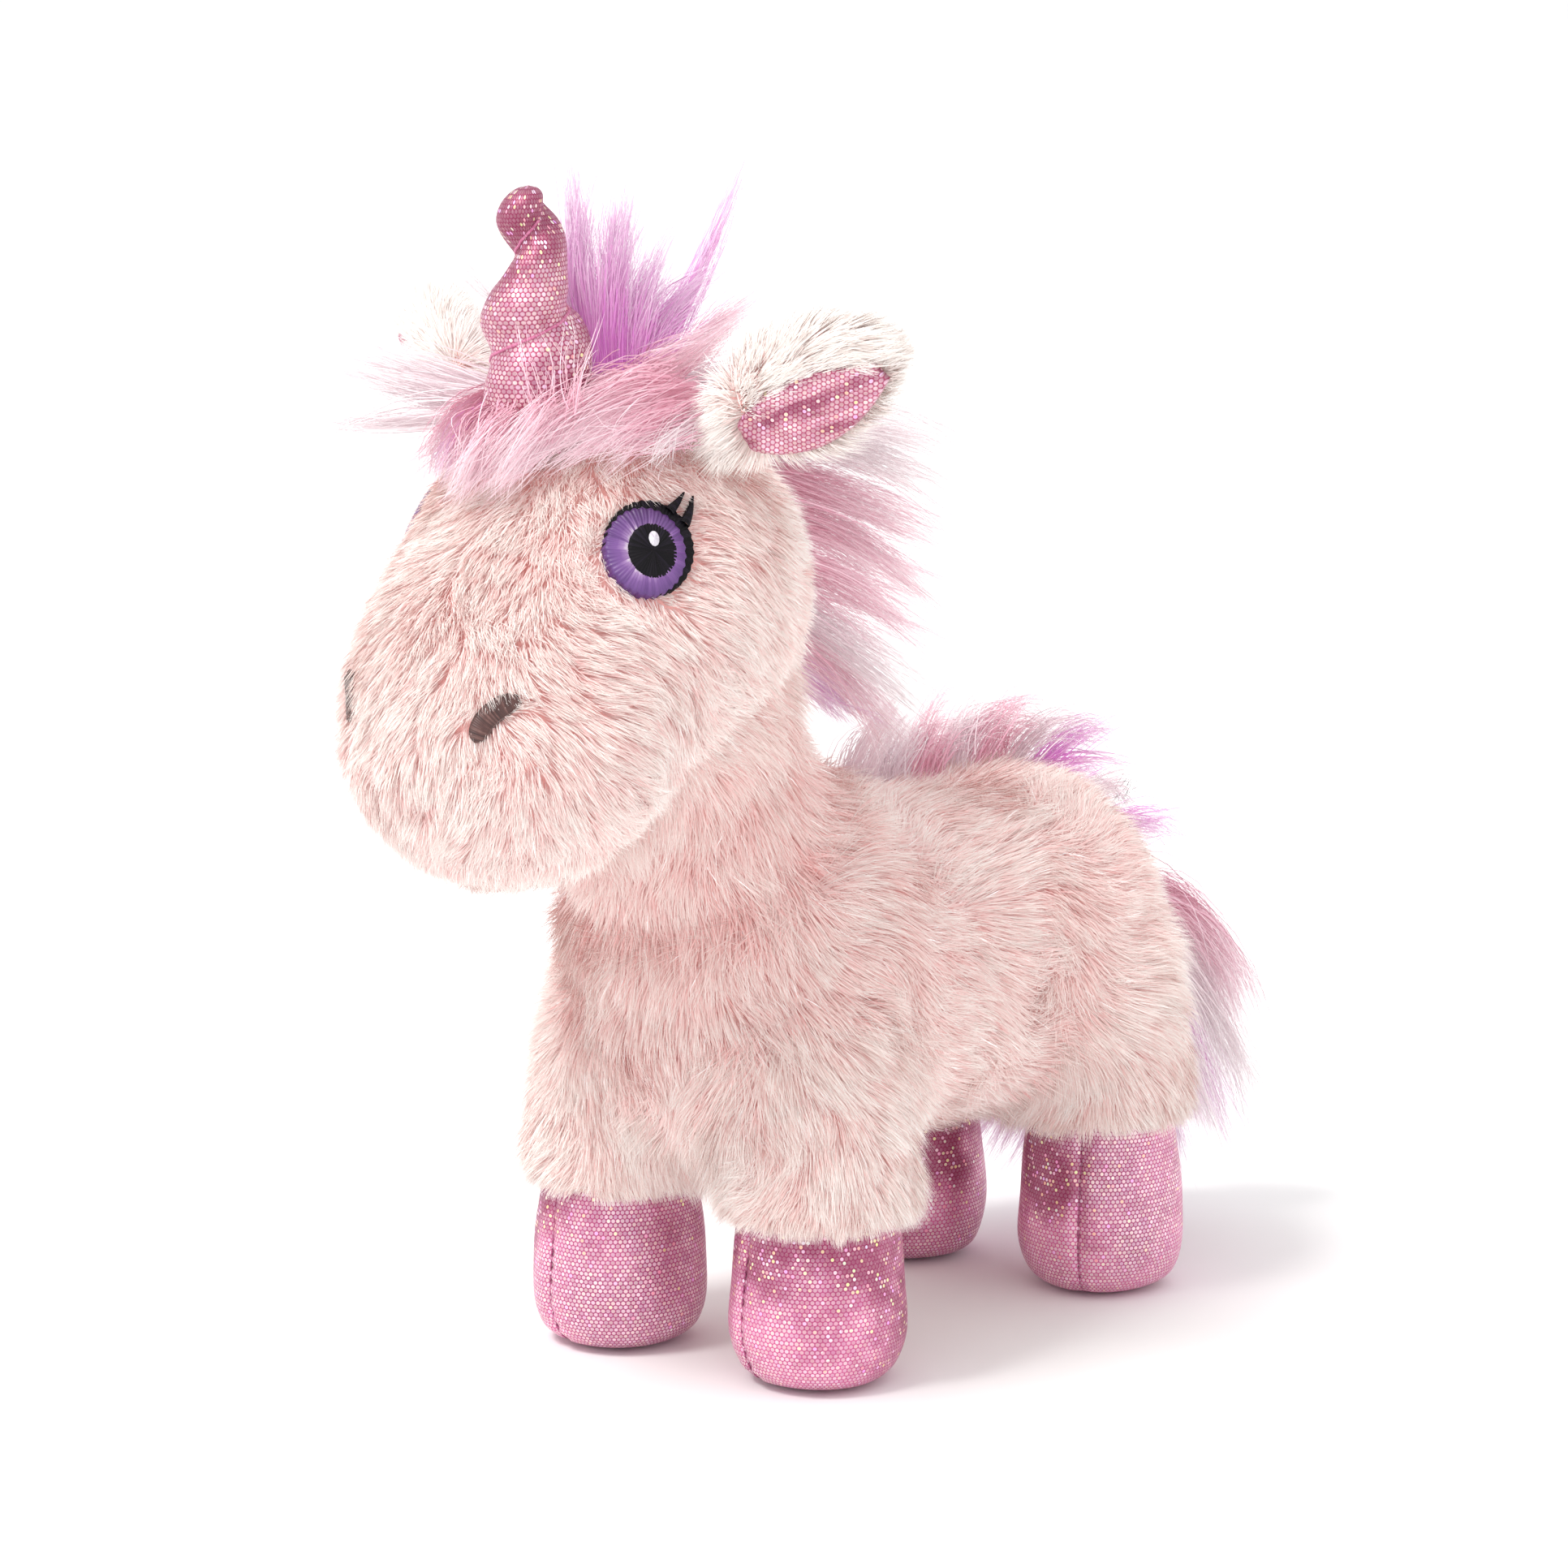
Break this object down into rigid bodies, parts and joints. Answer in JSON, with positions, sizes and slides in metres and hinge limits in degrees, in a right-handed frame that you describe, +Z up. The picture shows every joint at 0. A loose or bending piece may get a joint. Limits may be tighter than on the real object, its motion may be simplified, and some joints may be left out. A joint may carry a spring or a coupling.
{
  "type": "plush unicorn",
  "caption": "Stuffed standing unicorn with short fur, foil hooves and horn, floppy ears, long-haired mane and tail, and a turning head.",
  "frame": {"origin": "centre of the footprint box, on the surface the toy stands on", "axes": "+Z up, -Y the way the toy faces, +X the toy's left"},
  "size_m": [0.1393, 0.2581, 0.254],
  "materials": {
    "fur": "short cream-pink plush pile with fine sparkle threads",
    "foil": "pink foil-dot cloth, glittering",
    "stuffing": "white polyester fibre",
    "lilac_hair": "long soft lilac pile",
    "pink_hair": "long soft pink pile",
    "pale_hair": "long soft pale lilac pile",
    "pink_thread": "fine strong thread",
    "black_thread": "satin embroidery thread",
    "purple_thread": "satin embroidery thread",
    "white_thread": "satin embroidery thread",
    "brown_thread": "satin embroidery thread",
    "pellets": "small plastic beads"
  },
  "bodies": {
    "torso": {"body_left_panel": "fur", "body_right_panel": "fur", "belly_gusset": "fur", "body_stuffing": "stuffing", "mane_on_back": "pale_hair"},
    "neck": {"neck_sleeve": "fur", "neck_stuffing": "stuffing"},
    "head": {"head_left_panel": "fur", "head_right_panel": "fur", "head_centre_gusset": "fur", "head_stuffing": "stuffing", "left_eye_outline_and_lashes": "black_thread", "left_eye_iris": "purple_thread", "left_eye_pupil": "black_thread", "left_eye_glint": "white_thread", "right_eye_outline_and_lashes": "black_thread", "right_eye_iris": "purple_thread", "right_eye_pupil": "black_thread", "right_eye_glint": "white_thread", "left_nostril": "brown_thread", "right_nostril": "brown_thread", "forelock_tuft": "lilac_hair", "forelock_fringe": "pink_hair", "mane_on_head": "pink_hair"},
    "horn": {"horn_cover": "foil", "horn_stuffing": "stuffing", "horn_spiral_thread": "pink_thread"},
    "left_ear": {"left_ear_outer": "fur", "left_ear_inner": "foil"},
    "right_ear": {"right_ear_outer": "fur", "right_ear_inner": "foil"},
    "tail": {"tail_root_tab": "fur", "tail_hair": "pale_hair"},
    "front_left_leg": {"front_left_leg_sleeve": "fur", "front_left_leg_stuffing": "stuffing", "front_left_hoof_outer_panel": "foil", "front_left_hoof_inner_panel": "foil", "front_left_hoof_pellets": "pellets"},
    "front_right_leg": {"front_right_leg_sleeve": "fur", "front_right_leg_stuffing": "stuffing", "front_right_hoof_outer_panel": "foil", "front_right_hoof_inner_panel": "foil", "front_right_hoof_pellets": "pellets"},
    "hind_left_leg": {"hind_left_leg_sleeve": "fur", "hind_left_leg_stuffing": "stuffing", "hind_left_hoof_outer_panel": "foil", "hind_left_hoof_inner_panel": "foil", "hind_left_hoof_pellets": "pellets"},
    "hind_right_leg": {"hind_right_leg_sleeve": "fur", "hind_right_leg_stuffing": "stuffing", "hind_right_hoof_outer_panel": "foil", "hind_right_hoof_inner_panel": "foil", "hind_right_hoof_pellets": "pellets"}
  },
  "joints": [
    {"name": "neck_turn", "type": "hinge", "parent": "torso", "child": "neck", "pos_m": [0, -0.0375, 0.11], "axis": [0, 0, 1], "range_deg": [-15, 15], "stiffness_Nm_per_rad": 0.8},
    {"name": "head_nod", "type": "hinge", "parent": "neck", "child": "head", "pos_m": [0, -0.0635, 0.15], "axis": [1, 0, 0], "range_deg": [-10, 10], "stiffness_Nm_per_rad": 1},
    {"name": "horn_bend", "type": "hinge", "parent": "head", "child": "horn", "pos_m": [0, -0.0875, 0.207], "axis": [1, 0, 0], "range_deg": [-10, 10], "stiffness_Nm_per_rad": 0.05},
    {"name": "left_ear_flap", "type": "hinge", "parent": "head", "child": "left_ear", "pos_m": [0.035, -0.0705, 0.208], "axis": [-0.2353, -0.4118, 0.8804], "range_deg": [-15, 15], "stiffness_Nm_per_rad": 0.03},
    {"name": "right_ear_flap", "type": "hinge", "parent": "head", "child": "right_ear", "pos_m": [-0.035, -0.0705, 0.208], "axis": [-0.2353, 0.4118, -0.8804], "range_deg": [-15, 15], "stiffness_Nm_per_rad": 0.03},
    {"name": "tail_lift", "type": "hinge", "parent": "torso", "child": "tail", "pos_m": [0, 0.0925, 0.086], "axis": [1, 0, 0], "range_deg": [0, 45]},
    {"name": "front_left_hip", "type": "hinge", "parent": "torso", "child": "front_left_leg", "pos_m": [0.0262, -0.0335, 0.062], "axis": [1, 0, 0], "range_deg": [-15, 15], "stiffness_Nm_per_rad": 0.4},
    {"name": "front_right_hip", "type": "hinge", "parent": "torso", "child": "front_right_leg", "pos_m": [-0.0262, -0.0375, 0.062], "axis": [1, 0, 0], "range_deg": [-15, 15], "stiffness_Nm_per_rad": 0.4},
    {"name": "hind_left_hip", "type": "hinge", "parent": "torso", "child": "hind_left_leg", "pos_m": [0.0253, 0.0635, 0.062], "axis": [1, 0, 0], "range_deg": [-15, 15], "stiffness_Nm_per_rad": 0.4},
    {"name": "hind_right_hip", "type": "hinge", "parent": "torso", "child": "hind_right_leg", "pos_m": [-0.0253, 0.0585, 0.062], "axis": [1, 0, 0], "range_deg": [-15, 15], "stiffness_Nm_per_rad": 0.4}
  ]
}
